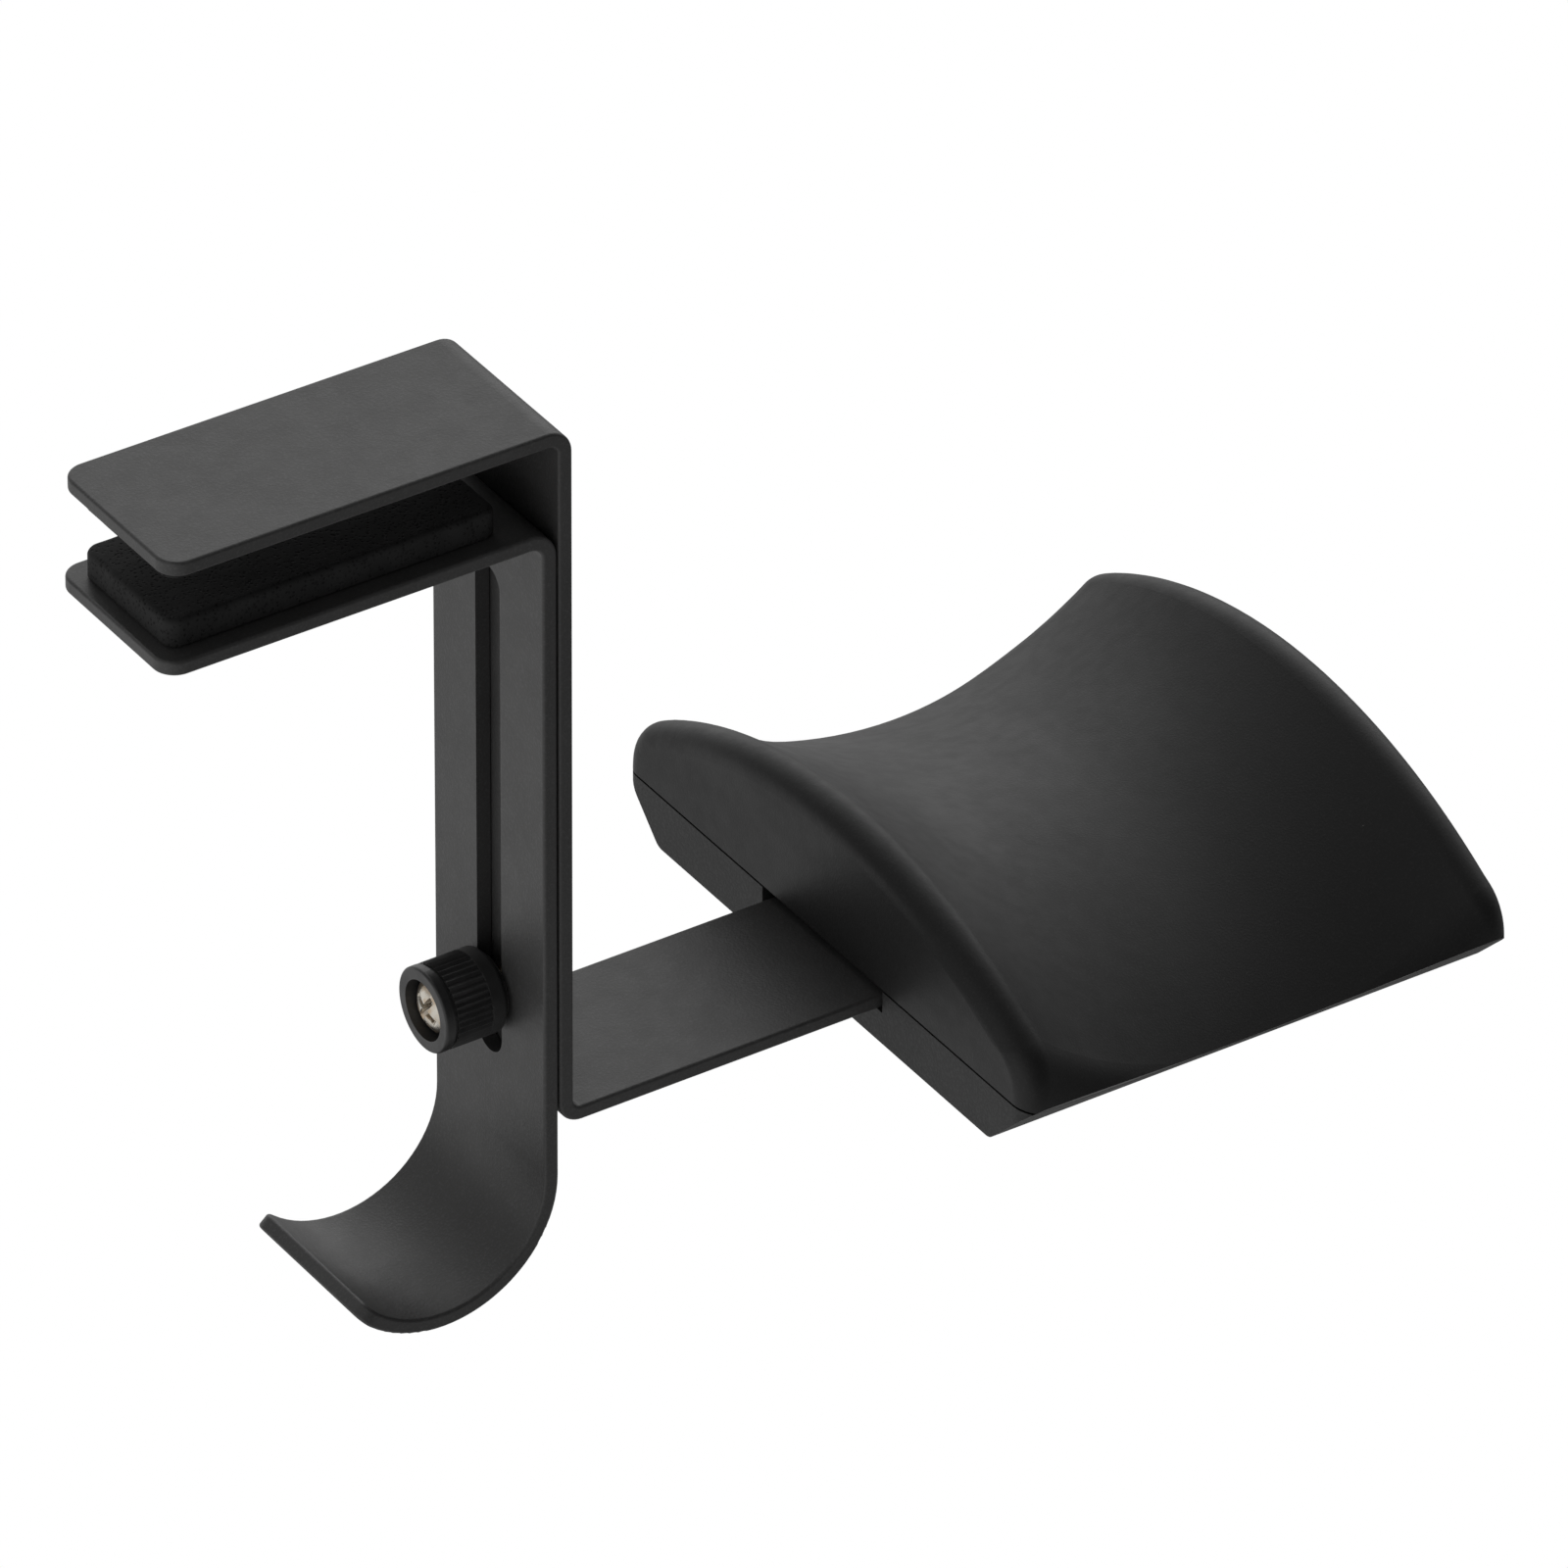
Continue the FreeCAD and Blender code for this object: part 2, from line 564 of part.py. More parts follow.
def pieces():
    parts = {
        "outer_bracket": outer_bracket(),
        "hook_bracket": hook_bracket(),
        "upper_jaw_pad": pad(0, UPPER_PAD_THICK, 0),
        "upper_pad_tape": pad_tape(UPPER_PAD_THICK),
        "lower_jaw_pad": pad(JAW_TOP_Z + TAPE_THICK, LOWER_PAD_THICK, LOWER_PAD_Z),
        "lower_pad_tape": pad_tape(JAW_TOP_Z),
        "clinch_nut": clinch_nut(),
        "thumb_knob": thumb_knob(),
        "thumb_screw": thumb_screw(),
        "knob_washer": knob_washer(),
        "saddle_shell": saddle_shell(),
        "saddle_base": saddle_base(),
    }
    for i, x in enumerate(ARM_HOLES_X, 1):
        parts[f"arm_screw_{i}"] = tapping_screw(x, 0, ARM_TOP_Z - STRIP_THICK)
    for i, (x, y) in enumerate(base_screw_places(), 1):
        parts[f"base_screw_{i}"] = tapping_screw(x, y, BASE_Z + HEAD_POCKET_DEPTH)
    return parts


os.makedirs("parts", exist_ok=True)
for name, shape in pieces().items():
    if not shape.isValid() or len(shape.Solids) != 1:
        print(name, "valid", shape.isValid(), "solids", len(shape.Solids))
    shape.exportStep(f"parts/{name}.step")
    extent = shape.optimalBoundingBox(True, False)
    print(f"{name}: {shape.Volume:.1f} mm3, X {extent.XMin:.1f} {extent.XMax:.1f}, "
          f"Y {extent.YMin:.1f} {extent.YMax:.1f}, Z {extent.ZMin:.1f} {extent.ZMax:.1f}")
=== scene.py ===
import math

import bmesh
import bpy
from mathutils import Matrix, Vector, noise


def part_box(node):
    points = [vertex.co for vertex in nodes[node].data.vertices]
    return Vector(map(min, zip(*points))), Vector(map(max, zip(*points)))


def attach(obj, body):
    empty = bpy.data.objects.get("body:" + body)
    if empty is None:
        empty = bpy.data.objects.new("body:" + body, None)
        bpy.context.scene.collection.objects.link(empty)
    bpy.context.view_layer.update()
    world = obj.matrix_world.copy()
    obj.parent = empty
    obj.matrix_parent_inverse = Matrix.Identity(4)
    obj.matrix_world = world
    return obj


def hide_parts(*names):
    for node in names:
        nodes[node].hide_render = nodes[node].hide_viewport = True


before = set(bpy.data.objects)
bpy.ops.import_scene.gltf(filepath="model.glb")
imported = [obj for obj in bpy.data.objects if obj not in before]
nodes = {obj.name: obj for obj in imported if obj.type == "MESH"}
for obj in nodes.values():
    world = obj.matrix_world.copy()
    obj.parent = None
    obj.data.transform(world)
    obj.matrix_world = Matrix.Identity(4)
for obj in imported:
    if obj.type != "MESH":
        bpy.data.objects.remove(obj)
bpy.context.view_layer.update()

MM = 0.001

# ---- camera, floor and light ----

FLOOR_Z = -0.35
FLOOR_SIZE = 40
FLOOR_ALBEDO, FLOOR_ROUGHNESS = 0.45, 0.9
WHITE = (1.0, 1.0, 1.0, 1.0)
# Studio light by direction: azimuth and elevation in degrees, strength, and how tightly it is gathered.
SKY = 0.05
SOFTBOXES = (
    (55, 24, 1.50, 2.6),
    (-168, 8, 0.86, 3.5),
)
# The floor's bounce: faint on the side of the azimuth opposite to this one, strongest on its own.
BOUNCE_AZIMUTH, BOUNCE_REACH = 150, 0.44
BOUNCE_FAINT, BOUNCE_STRONG = 0.02, 0.53


def camera():
    azimuth, elevation, roll = math.radians(-33.38), math.radians(34.33), math.radians(0.36)
    target = Vector((0.0695, 0.0, -0.0510))
    distance, right_shift, up_shift = 2.11241, 0.00051, -0.01433
    flat = math.cos(elevation)
    back = Vector((math.sin(azimuth) * flat, -math.cos(azimuth) * flat, math.sin(elevation)))
    right = Vector((math.cos(azimuth), math.sin(azimuth), 0))
    up = back.cross(right)
    turned_right = right * math.cos(roll) + up * math.sin(roll)
    turned_up = up * math.cos(roll) - right * math.sin(roll)
    data = bpy.data.cameras.new("camera")
    data.sensor_width = 36.0
    data.lens = 398.5
    data.clip_end = 100
    cam = bpy.data.objects.new("camera", data)
    bpy.context.scene.collection.objects.link(cam)
    place = target + back * distance + turned_right * right_shift + turned_up * up_shift
    cam.matrix_world = Matrix((
        (turned_right.x, turned_up.x, back.x, place.x),
        (turned_right.y, turned_up.y, back.y, place.y),
        (turned_right.z, turned_up.z, back.z, place.z),
        (0, 0, 0, 1),
    ))
    bpy.context.scene.camera = cam


def floor():
    """A wide white floor that the camera sees evenly lit, and sees through from below.

    What it throws back at the object is graded from one side to the other.
    """
    bpy.ops.mesh.primitive_plane_add(size=FLOOR_SIZE, location=(0, 0, FLOOR_Z))
    ground = bpy.context.object
    ground.name = "floor"
    paint = bpy.data.materials.new("floor")
    paint.use_nodes = True
    tree = paint.node_tree
    toward = math.radians(BOUNCE_AZIMUTH)
    along = tree.nodes.new("ShaderNodeVectorMath")
    along.operation = "DOT_PRODUCT"
    along.inputs[1].default_value = (math.cos(toward), math.sin(toward), 0)
    grade = tree.nodes.new("ShaderNodeMapRange")
    grades = (0, -BOUNCE_REACH, BOUNCE_REACH, BOUNCE_FAINT, BOUNCE_STRONG)
    for socket, value in zip(grade.inputs, grades):
        socket.default_value = value
    matte = tree.nodes["Principled BSDF"]
    matte.inputs["Base Color"].default_value = (*grey(FLOOR_ALBEDO), 1)
    matte.inputs["Roughness"].default_value = FLOOR_ROUGHNESS
    matte.inputs["Emission Color"].default_value = WHITE
    tree.links.new(tree.nodes.new("ShaderNodeTexCoord").outputs["Object"], along.inputs[0])
    tree.links.new(along.outputs["Value"], grade.inputs["Value"])
    tree.links.new(grade.outputs["Result"], matte.inputs["Emission Strength"])
    output = tree.nodes["Material Output"]
    glow = tree.nodes.new("ShaderNodeEmission")
    glow.inputs["Color"].default_value = WHITE
    clear = tree.nodes.new("ShaderNodeBsdfTransparent")
    sides = tree.nodes.new("ShaderNodeMixShader")
    rays = tree.nodes.new("ShaderNodeMixShader")
    tree.links.new(tree.nodes.new("ShaderNodeNewGeometry").outputs["Backfacing"], sides.inputs[0])
    tree.links.new(glow.outputs[0], sides.inputs[1])
    tree.links.new(clear.outputs[0], sides.inputs[2])
    tree.links.new(tree.nodes.new("ShaderNodeLightPath").outputs["Is Camera Ray"], rays.inputs[0])
    tree.links.new(matte.outputs[0], rays.inputs[1])
    tree.links.new(sides.outputs[0], rays.inputs[2])
    tree.links.new(rays.outputs[0], output.inputs["Surface"])
    ground.data.materials.append(paint)


def studio():
    """Soft light that depends on the direction it comes from, on a plain white backdrop."""
    world = bpy.data.worlds.new("studio")
    bpy.context.scene.world = world
    world.use_nodes = True
    tree = world.node_tree
    background = tree.nodes["Background"]
    background.inputs["Color"].default_value = WHITE
    direction = tree.nodes.new("ShaderNodeTexCoord").outputs["Generated"]

    def math_node(operation, first, second):
        made = tree.nodes.new("ShaderNodeMath")
        made.operation = operation
        for socket, value in zip(made.inputs, (first, second)):
            if isinstance(value, bpy.types.NodeSocket):
                tree.links.new(value, socket)
            else:
                socket.default_value = value
        return made.outputs[0]

    total = SKY
    for azimuth, elevation, strength, gather in SOFTBOXES:
        a, e = math.radians(azimuth), math.radians(elevation)
        toward = (math.cos(a) * math.cos(e), math.sin(a) * math.cos(e), math.sin(e))
        facing = tree.nodes.new("ShaderNodeVectorMath")
        facing.operation = "DOT_PRODUCT"
        tree.links.new(direction, facing.inputs[0])
        facing.inputs[1].default_value = toward
        lobe = math_node("POWER", math_node("MAXIMUM", facing.outputs["Value"], 0.0), gather)
        total = math_node("ADD", math_node("MULTIPLY", lobe, strength), total)
    seen = tree.nodes.new("ShaderNodeLightPath").outputs["Is Camera Ray"]
    tree.links.new(math_node("MAXIMUM", total, seen), background.inputs["Strength"])


# ---- finishes ----

MIX_FIRST, MIX_SECOND, MIX_RESULT = 6, 7, 2  # a Mix node's colour sockets


class Finish:
    """One procedural material. Sizes are in millimetres, and the pattern is fixed to the part."""

    def __init__(self, name, metallic=0.0, specular=0.5):
        self.material = bpy.data.materials.new(name)
        self.material.use_nodes = True
        self.tree = self.material.node_tree
        self.shader = self.tree.nodes["Principled BSDF"]
        self.shader.inputs["Metallic"].default_value = metallic
        self.shader.inputs["Specular IOR Level"].default_value = specular
        self.place = self.add("ShaderNodeTexCoord").outputs["Object"]

    def add(self, kind, **settings):
        made = self.tree.nodes.new(kind)
        for key, value in settings.items():
            setattr(made, key, value)
        return made

    def feed(self, socket, value):
        if isinstance(value, bpy.types.NodeSocket):
            self.tree.links.new(value, socket)
        else:
            socket.default_value = value

    def math(self, operation, *values):
        made = self.add("ShaderNodeMath", operation=operation)
        for socket, value in zip(made.inputs, values):
            self.feed(socket, value)
        return made.outputs[0]

    def stretched(self, factors):
        """The part's coordinates scaled by factors, so a pattern runs along one axis."""
        made = self.add("ShaderNodeVectorMath", operation="MULTIPLY")
        self.feed(made.inputs[0], self.place)
        made.inputs[1].default_value = factors
        return made.outputs[0]

    def clouds(self, size, detail=2.0, place=None):
        """Soft noise with blotches of about this size, mostly between 0.35 and 0.65."""
        made = self.add("ShaderNodeTexNoise")
        self.feed(made.inputs["Vector"], place or self.place)
        made.inputs["Scale"].default_value = 1 / (size * MM)
        made.inputs["Detail"].default_value = detail
        return made.outputs["Fac"]

    def cells(self, size, output="Distance"):
        """Random cells of this size: the distance to a cell's middle, or its own colour."""
        made = self.add("ShaderNodeTexVoronoi")
        self.feed(made.inputs["Vector"], self.place)
        made.inputs["Scale"].default_value = 1 / (size * MM)
        return made.outputs[output]

    def ramp(self, value, low, high, to_low, to_high):
        """Value from low to high becomes to_low to to_high, in a smooth step, and goes no further."""
        made = self.add("ShaderNodeMapRange", interpolation_type="SMOOTHSTEP")
        for socket, item in zip(made.inputs, (value, low, high, to_low, to_high)):
            self.feed(socket, item)
        return made.outputs["Result"]

    def mix(self, factor, first, second):
        """The first colour at factor 0, the second at 1."""
        made = self.add("ShaderNodeMix", data_type="RGBA")
        self.feed(made.inputs[0], factor)
        for socket, value in ((MIX_FIRST, first), (MIX_SECOND, second)):
            self.feed(made.inputs[socket], (*value, 1.0) if isinstance(value, tuple) else value)
        return made.outputs[MIX_RESULT]

    def specks(self, spacing, size, share):
        """1 inside small round specks: one in each of a share of cells, spacing apart."""
        shade = self.add("ShaderNodeSeparateColor")
        self.feed(shade.inputs[0], self.cells(spacing, "Color"))
        chosen = self.math("GREATER_THAN", shade.outputs[0], 1 - share)
        spot = self.ramp(self.cells(spacing), 0.35 * size / spacing, 0.55 * size / spacing, 1.0, 0.0)
        return self.math("MULTIPLY", chosen, spot)

    def edges(self, radius):
        """1 along sharp corners, 0 on open faces."""
        rounded = self.add("ShaderNodeBevel", samples=4)
        rounded.inputs["Radius"].default_value = radius * MM
        made = self.add("ShaderNodeVectorMath", operation="DOT_PRODUCT")
        self.feed(made.inputs[0], rounded.outputs[0])
        self.feed(made.inputs[1], self.add("ShaderNodeNewGeometry").outputs["Normal"])
        return self.ramp(made.outputs["Value"], 0.80, 0.995, 1.0, 0.0)

    def hollows(self, reach):
        """1 deep in a recess, 0 on open faces."""
        made = self.add("ShaderNodeAmbientOcclusion", samples=8)
        made.inputs["Distance"].default_value = reach * MM
        return self.ramp(made.outputs["AO"], 0.30, 0.85, 1.0, 0.0)

    def bump(self, height, depth, under=None):
        """A normal from a height pattern this deep, laid over another normal."""
        made = self.add("ShaderNodeBump")
        made.inputs["Distance"].default_value = depth * MM
        self.feed(made.inputs["Height"], height)
        if under is not None:
            self.feed(made.inputs["Normal"], under)
        return made.outputs[0]

    def done(self, colour, roughness, normal):
        self.feed(self.shader.inputs["Base Color"], colour)
        self.feed(self.shader.inputs["Roughness"], roughness)
        self.feed(self.shader.inputs["Normal"], normal)
        return self.material


def grey(value, warmth=0.0):
    """A grey, a little redder and less blue by its warmth."""
    return value * (1 + warmth), value, value * (1 - warmth)


def powder_coat():
    """Satin black powder coat: orange peel, fine grain, paler worn corners and a little dust."""
    f = Finish("powder_coat")
    grain = f.clouds(0.35, 1.0)
    blotch = f.ramp(f.clouds(8.0, 5.0), 0.35, 0.65, 0.0, 1.0)
    colour = f.mix(blotch, grey(0.044, 0.01), grey(0.049, 0.01))
    colour = f.mix(f.ramp(grain, 0.50, 0.75, 0.0, 0.5), colour, grey(0.078))
    worn = f.math("MULTIPLY", f.edges(0.45), f.ramp(f.clouds(3.0), 0.42, 0.62, 0.1, 1.0))
    colour = f.mix(f.math("MULTIPLY", worn, 0.15), colour, grey(0.10, 0.02))
    colour = f.mix(f.math("MULTIPLY", f.specks(3.4, 0.16, 0.16), 0.6), colour, grey(0.22, 0.03))
    rough = f.ramp(f.clouds(4.0, 4.0), 0.35, 0.65, 0.465, 0.505)
    rough = f.math("SUBTRACT", rough, f.math("MULTIPLY", worn, 0.10))
    normal = f.bump(f.clouds(1.5, 1.0), 0.020)
    return f.done(colour, rough, f.bump(grain, 0.030, normal))


def shell_plastic():
    """Matte black moulding: very fine spark texture, faint hand smudges and a little dust."""
    f = Finish("shell_plastic", specular=0.27)
    grain = f.clouds(0.30, 2.0)
    smudge = f.clouds(16, 3.0, f.stretched((1.0, 0.45, 1.0)))
    colour = f.mix(f.ramp(smudge, 0.35, 0.68, 0.0, 1.0), grey(0.016), grey(0.019))
    colour = f.mix(f.ramp(grain, 0.52, 0.75, 0.0, 0.4), colour, grey(0.034))
    colour = f.mix(f.math("MULTIPLY", f.specks(4.2, 0.18, 0.14), 0.5), colour, grey(0.20, 0.02))
    rough = f.ramp(smudge, 0.35, 0.68, 0.50, 0.44)
    rough = f.math("ADD", rough, f.ramp(f.clouds(2.2), 0.3, 0.7, -0.02, 0.02))
    normal = f.bump(f.clouds(2.0, 1.0), 0.010)
    return f.done(colour, rough, f.bump(grain, 0.022, normal))


def base_plastic():
    """Black moulding with a coarser spark texture than the shell's."""
    f = Finish("base_plastic", specular=0.45)
    grain = f.clouds(0.55, 2.0)
    colour = f.mix(f.ramp(f.clouds(14, 3.0), 0.35, 0.65, 0.0, 1.0), grey(0.020), grey(0.027))
    colour = f.mix(f.ramp(grain, 0.50, 0.72, 0.0, 0.6), colour, grey(0.060))
    rough = f.ramp(grain, 0.35, 0.65, 0.56, 0.68)
    return f.done(colour, rough, f.bump(grain, 0.055))


def foam():
    """Closed-cell foam rubber: burst cells at the skin, their dents darkened as painted shade, and a few
    pale specks.
    """
    f = Finish("foam_pad", specular=0.22)
    cells = f.cells(0.55)
    pores_and_pore_shade = f.ramp(cells, 0.10, 0.45, 0.0, 1.0)
    # Painted shade: each burst cell is darker towards its middle, where its dent is deepest.
    colour = f.mix(pores_and_pore_shade, grey(0.011), grey(0.025))
    colour = f.mix(f.ramp(f.clouds(5.0, 3.0), 0.45, 0.70, 0.0, 0.6), colour, grey(0.036))
    colour = f.mix(f.math("MULTIPLY", f.specks(1.7, 0.20, 0.12), 0.7), colour, grey(0.11, 0.03))
    rough = f.ramp(cells, 0.1, 0.5, 0.95, 0.82)
    normal = f.bump(f.clouds(1.8, 2.0), 0.060)
    return f.done(colour, rough, f.bump(pores_and_pore_shade, 0.090, normal))


def tape():
    """The cut edge of a black double-sided tape, with its fibres."""
    f = Finish("adhesive_tape", specular=0.35)
    fibres = f.clouds(0.30, 3.0, f.stretched((0.25, 0.25, 2.0)))
    colour = f.mix(f.ramp(fibres, 0.35, 0.65, 0.0, 1.0), grey(0.018), grey(0.050, 0.02))
    return f.done(colour, f.ramp(fibres, 0.3, 0.7, 0.45, 0.70), f.bump(fibres, 0.040))


def knob_plastic():
    """Moulded black nylon, a little glossier, with paler ridges: partly rubbed wear, partly a painted
    highlight.
    """
    f = Finish("knob_plastic")
    grain = f.clouds(0.28, 2.0)
    # The ridges are painted paler: partly rubbed wear, partly a painted highlight standing in for their
    # shine.
    paler_edges = f.math("MULTIPLY", f.edges(0.30), f.ramp(f.clouds(1.6), 0.40, 0.65, 0.2, 1.0))
    colour = f.mix(f.ramp(f.clouds(4.0, 3.0), 0.35, 0.65, 0.0, 1.0), grey(0.022), grey(0.030))
    colour = f.mix(f.math("MULTIPLY", paler_edges, 0.60), colour, grey(0.085))
    rough = f.ramp(f.clouds(2.5), 0.35, 0.65, 0.34, 0.44)
    return f.done(colour, rough, f.bump(grain, 0.014))


NICKEL, NICKEL_STAIN = (0.72, 0.68, 0.60), (0.60, 0.47, 0.33)
ZINC, ZINC_STAIN = (0.62, 0.62, 0.63), (0.48, 0.47, 0.45)
RING_SPACING, RING_WOBBLE = 0.1496 * MM, 0.08 * MM


def plated(name, colour, tarnish, rough_low, rough_high, axis=None):
    """Plated steel. With a point on an axis along X it has lathe rings, without one a zinc spangle."""
    f = Finish(name, metallic=1.0)
    if axis:
        offset = f.add("ShaderNodeVectorMath", operation="SUBTRACT")
        f.feed(offset.inputs[0], f.place)
        offset.inputs[1].default_value = axis
        across = f.add("ShaderNodeVectorMath", operation="MULTIPLY")
        f.feed(across.inputs[0], offset.outputs[0])
        across.inputs[1].default_value = (0.0, 1.0, 1.0)
        length = f.add("ShaderNodeVectorMath", operation="LENGTH")
        f.feed(length.inputs[0], across.outputs[0])
        wobble = f.math("MULTIPLY", f.clouds(2.0), RING_WOBBLE)
        radius = f.math("ADD", length.outputs["Value"], wobble)
        pattern = f.math("SINE", f.math("MULTIPLY", radius, 2 * math.pi / RING_SPACING))
        pattern = f.math("MULTIPLY_ADD", pattern, 0.5, 0.5)
        depth = 0.004
    else:
        shade = f.add("ShaderNodeSeparateColor")
        f.feed(shade.inputs[0], f.cells(0.8, "Color"))
        pattern = shade.outputs[0]
        depth = 0.003
    stain = f.ramp(f.clouds(1.8, 3.0), 0.42, 0.66, 0.0, 1.0)
    tone = f.mix(stain, colour, tarnish)
    tone = f.mix(f.math("MULTIPLY", pattern, 0.12), tone, grey(0.45))
    # Painted shade: recesses such as the cross in the screw head are darkened towards a dark brown, and
    # made rougher.
    hollows_painted_dark = f.hollows(0.9)
    tone = f.mix(f.math("MULTIPLY", hollows_painted_dark, 0.92), tone, (0.075, 0.052, 0.036))
    rough = f.ramp(stain, 0.0, 1.0, rough_low, rough_high)
    rough = f.math("ADD", rough, f.math("MULTIPLY", pattern, 0.04))
    rough = f.math("ADD", rough, f.math("MULTIPLY", hollows_painted_dark, 0.25))
    normal = f.bump(f.clouds(0.5, 2.0), 0.006)
    return f.done(tone, rough, f.bump(pattern, depth, normal))


def black_metal(name, colour, rough):
    """Blackened steel: blotchy oxide, rubbed brighter on its corners."""
    f = Finish(name, metallic=0.35)
    blotch = f.clouds(1.4, 4.0)
    paler_edges = f.math("MULTIPLY", f.edges(0.18), f.ramp(f.clouds(0.9), 0.4, 0.6, 0.2, 1.0))
    tone = f.mix(f.ramp(blotch, 0.35, 0.65, 0.0, 1.0), grey(colour), grey(colour * 1.7, 0.02))
    tone = f.mix(f.math("MULTIPLY", paler_edges, 0.6), tone, grey(0.30, 0.02))
    rough = f.ramp(blotch, 0.3, 0.7, rough, rough + 0.12)
    return f.done(tone, rough, f.bump(f.clouds(0.3, 2.0), 0.010))


# ---- foam pads ----

PAD_CORNER = 2.0 * MM
PAD_SOFT_EDGE = 0.75 * MM           # rounding of the free face's edge, which gives when it is pressed
PAD_CUT_EDGE = 0.20 * MM            # rounding of the edge on the tape
PAD_CREASE = 0.05 * MM              # how far the skin sinks and wanders
PAD_WAVE, PAD_RIPPLE = 3.0 * MM, 1.1 * MM
PAD_SPACING = 0.9 * MM
CORNER_STEPS, SOFT_STEPS, CUT_STEPS = 5, 6, 3


def plan_point(u, v, half_x, half_y, corner):
    """A point of a square grid, -1 to 1 each way, moved onto a rectangle with round corners."""
    x, y = u * half_x, v * half_y
    over_x, over_y = abs(x) - (half_x - corner), abs(y) - (half_y - corner)
    if over_x > 0 and over_y > 0:
        a, b = over_x / corner, over_y / corner
        x = math.copysign(half_x - corner + corner * a * math.sqrt(1 - b * b / 2), x)
        y = math.copysign(half_y - corner + corner * b * math.sqrt(1 - a * a / 2), y)
    return x, y


def grid_steps(half):
    """Grid lines from -1 to 1 along a pad: close together at its corners, even between them."""
    inner = 1 - PAD_CORNER / half
    count = max(2, round(2 * (half - PAD_CORNER) / PAD_SPACING))
    middle = [inner * (2 * i / count - 1) for i in range(count + 1)]
    outer = [inner + (1 - inner) * i / CORNER_STEPS for i in range(1, CORNER_STEPS + 1)]
    return [-t for t in reversed(outer)] + middle + outer


def pad_levels(half_z):
    """Each ring's inset and height, from the free face down its sides to the face on the tape."""
    soft, cut = min(PAD_SOFT_EDGE, 0.45 * half_z), min(PAD_CUT_EDGE, 0.2 * half_z)
    levels = []
    for i in range(SOFT_STEPS + 1):
        turn = math.pi / 2 * i / SOFT_STEPS
        levels.append((soft * (1 - math.sin(turn)), half_z - soft * (1 - math.cos(turn))))
    for share in (0.5, 0.0, -0.5):
        levels.append((0.0, share * (half_z - soft)))
    for i in range(CUT_STEPS + 1):
        turn = math.pi / 2 * i / CUT_STEPS
        levels.append((cut * (1 - math.cos(turn)), -half_z + cut * (1 - math.sin(turn))))
    return levels


def pad_point(u, v, inset, height, half, centre, free_side):
    """A point of a pad's skin, which wanders a little, and sinks towards the free face's rim."""
    x, y = plan_point(u, v, half.x - inset, half.y - inset, PAD_CORNER - inset)
    spot = Vector((x, y, height * free_side)) + centre
    wander = 0.5 + 0.5 * noise.noise(spot / PAD_WAVE) + 0.25 * noise.noise(spot / PAD_RIPPLE)
    near_rim = 1 - (1 - u * u) * (1 - v * v)
    sag = PAD_CREASE * (0.9 * near_rim + wander) if height > 0 else 0.0
    inward = PAD_CREASE * wander * min(1.0, Vector((x / half.x, y / half.y)).length)
    x, y = x - math.copysign(inward, x), y - math.copysign(inward, y)
    return Vector((x, y, (height - sag) * free_side)) + centre


def foam_pad(name, node, body, free_side):
    """A die-cut foam pad in its CAD solid's box. free_side is 1 if its free face looks up."""
    low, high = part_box(node)
    centre, half = (low + high) / 2, (high - low) / 2
    us, vs = grid_steps(half.x), grid_steps(half.y)
    around = [(us[0], v) for v in vs[:-1]] + [(u, vs[-1]) for u in us[:-1]]
    around += [(us[-1], v) for v in vs[:0:-1]] + [(u, vs[0]) for u in us[:0:-1]]
    points, faces = [], []

    def ring(places, level):
        """Adds the skin's points at these grid places, and returns their numbers."""
        first = len(points)
        points.extend(pad_point(u, v, *level, half, centre, free_side) for u, v in places)
        return list(range(first, len(points)))

    def sheet(level, flip):
        """Adds one whole face, and returns the numbers of its rim in the order of around."""
        rows = [ring([(u, v) for v in vs], level) for u in us]
        for row, following in zip(rows, rows[1:]):
            for j in range(len(vs) - 1):
                quad = (row[j], following[j], following[j + 1], row[j + 1])
                faces.append(quad[::-1] if flip else quad)
        near_side, far_side = [row[0] for row in rows], [row[-1] for row in rows]
        return rows[0][:-1] + far_side[:-1] + rows[-1][:0:-1] + near_side[:0:-1]

    levels = pad_levels(half.z)
    rims = [sheet(levels[0], free_side < 0)]
    rims += [ring(around, level) for level in levels[1:-1]]
    rims.append(sheet(levels[-1], free_side > 0))
    for upper, lower in zip(rims, rims[1:]):
        for i in range(len(upper)):
            quad = (upper[i - 1], upper[i], lower[i], lower[i - 1])
            faces.append(quad if free_side > 0 else quad[::-1])
    mesh = bpy.data.meshes.new(name)
    mesh.from_pydata(points, [], faces)
    mesh.shade_smooth()
    pad = bpy.data.objects.new(name, mesh)
    bpy.context.scene.collection.objects.link(pad)
    pad.data.materials.append(finishes["foam_pad"])
    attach(pad, body)
    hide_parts(node)


# ---- clamping screw ----

SCREW_HEAD_HEIGHT = 2.2 * MM
HEAD_KEPT_PAST_SEAT = 0.02 * MM
THREAD_RADIUS = 1.95 * MM
THREAD_PITCH = 0.7 * MM
THREAD_DEPTH = 0.38 * MM
CREST_START, ROOT_END = 0.94, 0.14  # shares of half a pitch, from the root's middle
THREAD_SIDES = 32                   # points in a ring
THREAD_STEPS = 10                   # rings in a pitch
TIP_CHAMFER = 0.6 * MM
SHARP_EDGE = math.radians(40)


def thread_depth(x, turn):
    """How deep the groove is at x, as a share: flat crests and roots, 60 degree flanks."""
    phase = (x / THREAD_PITCH - turn) % 1
    return min(1.0, max(0.0, (CREST_START - abs(2 * phase - 1)) / (CREST_START - ROOT_END)))


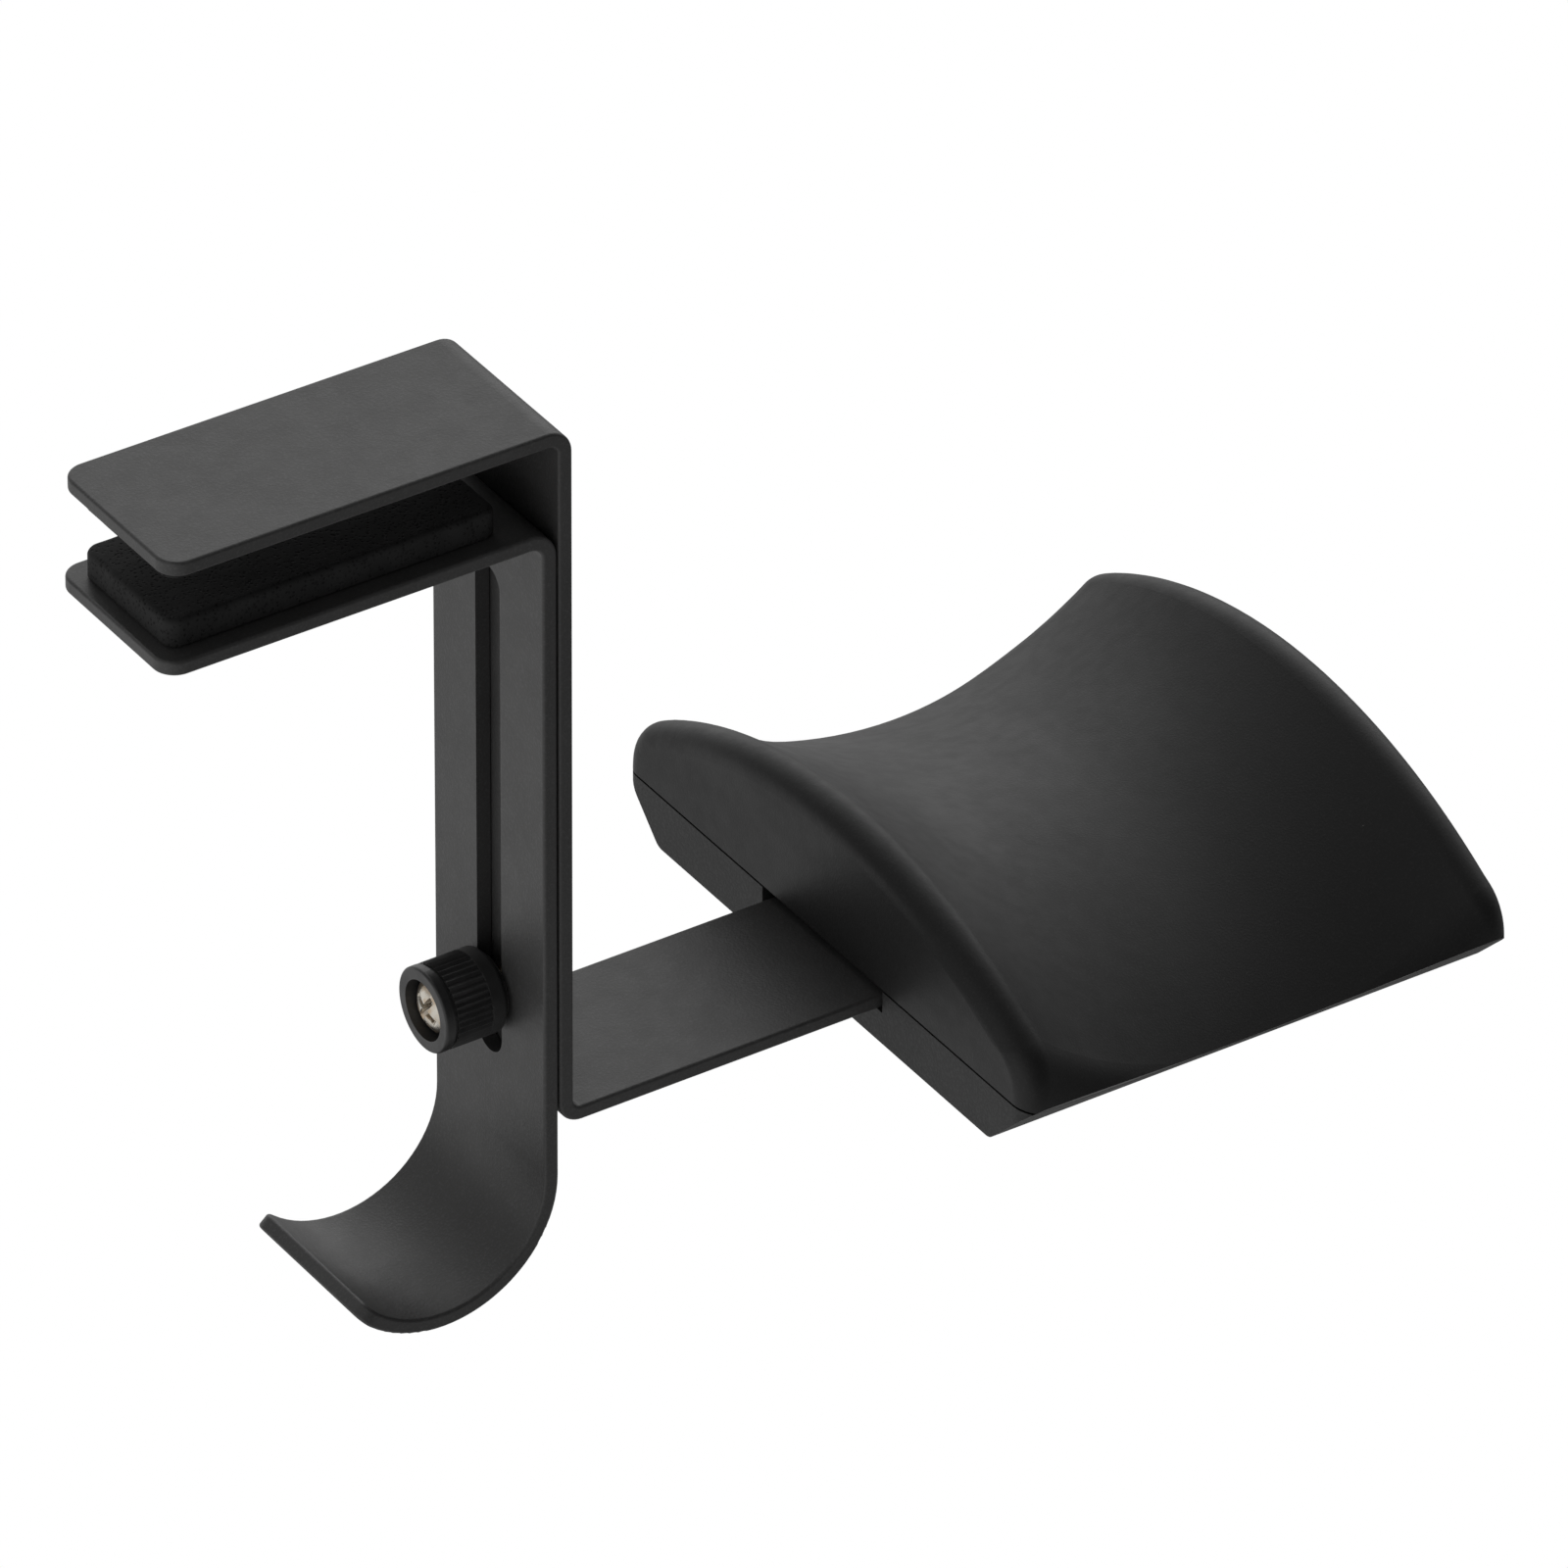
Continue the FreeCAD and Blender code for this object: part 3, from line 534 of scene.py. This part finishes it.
def screw_head(seat):
    """The CAD screw's mesh as a bmesh, cut off just past the seat of its head and closed."""
    built = bmesh.new()
    built.from_mesh(nodes["thumb_screw"].data)
    bmesh.ops.remove_doubles(built, verts=built.verts, dist=0.001 * MM)
    parts = built.verts[:] + built.edges[:] + built.faces[:]
    place = (seat + HEAD_KEPT_PAST_SEAT, 0, 0)
    cut = bmesh.ops.bisect_plane(built, geom=parts, plane_co=place, plane_no=(1, 0, 0), clear_outer=True)
    rim = [part for part in cut["geom_cut"] if isinstance(part, bmesh.types.BMEdge)]
    bmesh.ops.edgeloop_fill(built, edges=rim)
    return built


def thread_ring(x, tip):
    """Points round the threaded shank at x. The shank narrows in the last stretch before tip."""
    widest = THREAD_RADIUS - max(0.0, x - (tip - TIP_CHAMFER))
    ring = []
    for j in range(THREAD_SIDES):
        turn = j / THREAD_SIDES
        r = min(widest, THREAD_RADIUS - THREAD_DEPTH * thread_depth(x, turn))
        angle = 2 * math.pi * turn
        ring.append((x, axis_point.y + r * math.cos(angle), axis_point.z + r * math.sin(angle)))
    return ring


def clamping_screw():
    """The CAD screw's head on a shank with a real M4 thread."""
    low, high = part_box("thumb_screw")
    seat = low.x + SCREW_HEAD_HEIGHT
    length = high.x - seat
    built = screw_head(seat)
    count = round(length / THREAD_PITCH * THREAD_STEPS)
    places = [seat + length * i / count for i in range(count + 1)]
    rings = [[built.verts.new(spot) for spot in thread_ring(x, high.x)] for x in places]
    for ring, following in zip(rings, rings[1:]):
        for j in range(THREAD_SIDES):
            k = (j + 1) % THREAD_SIDES
            built.faces.new((ring[j], ring[k], following[k], following[j]))
    built.faces.new(rings[0])
    built.faces.new(rings[-1])
    bmesh.ops.recalc_face_normals(built, faces=built.faces)
    mesh = bpy.data.meshes.new("clamping_screw")
    built.to_mesh(mesh)
    built.free()
    mesh.shade_smooth()
    mesh.set_sharp_from_angle(angle=SHARP_EDGE)
    mesh.materials.clear()
    mesh.materials.append(finishes["plated_screw"])
    screw = bpy.data.objects.new("clamping_screw", mesh)
    bpy.context.scene.collection.objects.link(screw)
    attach(screw, "clamp_knob")
    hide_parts("thumb_screw")


# ---- the scene ----

camera()
floor()
studio()
bpy.context.scene.view_settings.view_transform = "Standard"
axis_point = sum(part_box("thumb_knob"), Vector()) / 2
finishes = {
    "powder_coat": powder_coat(),
    "shell_plastic": shell_plastic(),
    "base_plastic": base_plastic(),
    "foam_pad": foam(),
    "adhesive_tape": tape(),
    "knob_plastic": knob_plastic(),
    "plated_screw": plated("plated_screw", NICKEL, NICKEL_STAIN, 0.24, 0.38, tuple(axis_point)),
    "plated_nut": plated("plated_nut", ZINC, ZINC_STAIN, 0.30, 0.45),
    "black_washer": black_metal("black_washer", 0.020, 0.42),
    "tapping_screw": black_metal("tapping_screw", 0.045, 0.36),
}
NODE_FINISH = {
    "outer_bracket": "powder_coat",
    "hook_bracket": "powder_coat",
    "saddle_shell": "shell_plastic",
    "saddle_base": "base_plastic",
    "upper_jaw_pad": "foam_pad",
    "lower_jaw_pad": "foam_pad",
    "upper_pad_tape": "adhesive_tape",
    "lower_pad_tape": "adhesive_tape",
    "thumb_knob": "knob_plastic",
    "thumb_screw": "plated_screw",
    "clinch_nut": "plated_nut",
    "knob_washer": "black_washer",
}
for name, node in nodes.items():
    node.data.materials.clear()
    node.data.materials.append(finishes[NODE_FINISH.get(name, "tapping_screw")])
foam_pad("upper_foam_pad", "upper_jaw_pad", "clamp_frame", -1)
foam_pad("lower_foam_pad", "lower_jaw_pad", "sliding_hook", 1)
clamping_screw()
